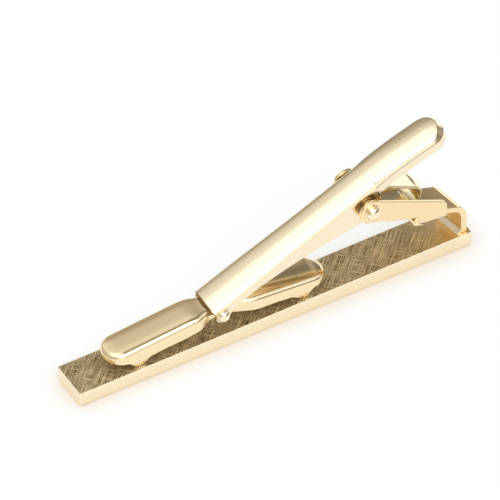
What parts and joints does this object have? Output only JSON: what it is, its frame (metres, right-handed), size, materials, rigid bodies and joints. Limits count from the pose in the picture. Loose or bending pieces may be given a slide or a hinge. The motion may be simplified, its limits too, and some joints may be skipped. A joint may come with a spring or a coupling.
{
  "type": "tie clip",
  "caption": "Slim gold-plated tie clip with a flat dress bar, a sprung lever and a rocking jaw on its back.",
  "frame": {"origin": "centre of the bar's polished front face, which lies on the surface", "axes": "+X along the bar towards the bracket, +Z from the polished front towards the clasp, +Y across the bar"},
  "size_m": [0.06, 0.009, 0.0231],
  "materials": {
    "bar": "gold plate, polished front and sides, cross-brushed back",
    "solder_fillet": "gold plate over solder",
    "bracket_arm": "polished gold plate",
    "housing": "polished gold plate",
    "spring": "polished gold plate",
    "hinge_pin": "polished gold plate",
    "washer_near": "satin gold plate",
    "washer_far": "satin gold plate",
    "lever": "satin gold plate",
    "jaw_pin": "polished gold plate",
    "jaw": "satin gold plate"
  },
  "bodies": {
    "bar": {"bar": "bar", "solder_fillet": "solder_fillet", "bracket_arm": "bracket_arm", "housing": "housing", "spring": "spring", "hinge_pin": "hinge_pin", "washer_near": "washer_near", "washer_far": "washer_far"},
    "lever": {"lever": "lever", "jaw_pin": "jaw_pin"},
    "jaw": {"jaw": "jaw"}
  },
  "joints": [
    {"name": "lever_hinge", "type": "hinge", "parent": "bar", "child": "lever", "pos_m": [0.0143, 0, 0.0146], "axis": [0, 1, 0], "range_deg": [0, 16], "stiffness_Nm_per_rad": 0.08, "springref_deg": -20.05, "deforming": ["spring"]},
    {"name": "jaw_rock", "type": "hinge", "parent": "lever", "child": "jaw", "pos_m": [-0.00806, 0, 0.006], "axis": [0, 1, 0], "range_deg": [-8, 0]}
  ],
  "couplings": [
    {"joint": "jaw_rock", "follows": "lever_hinge", "ratio": -0.5}
  ]
}
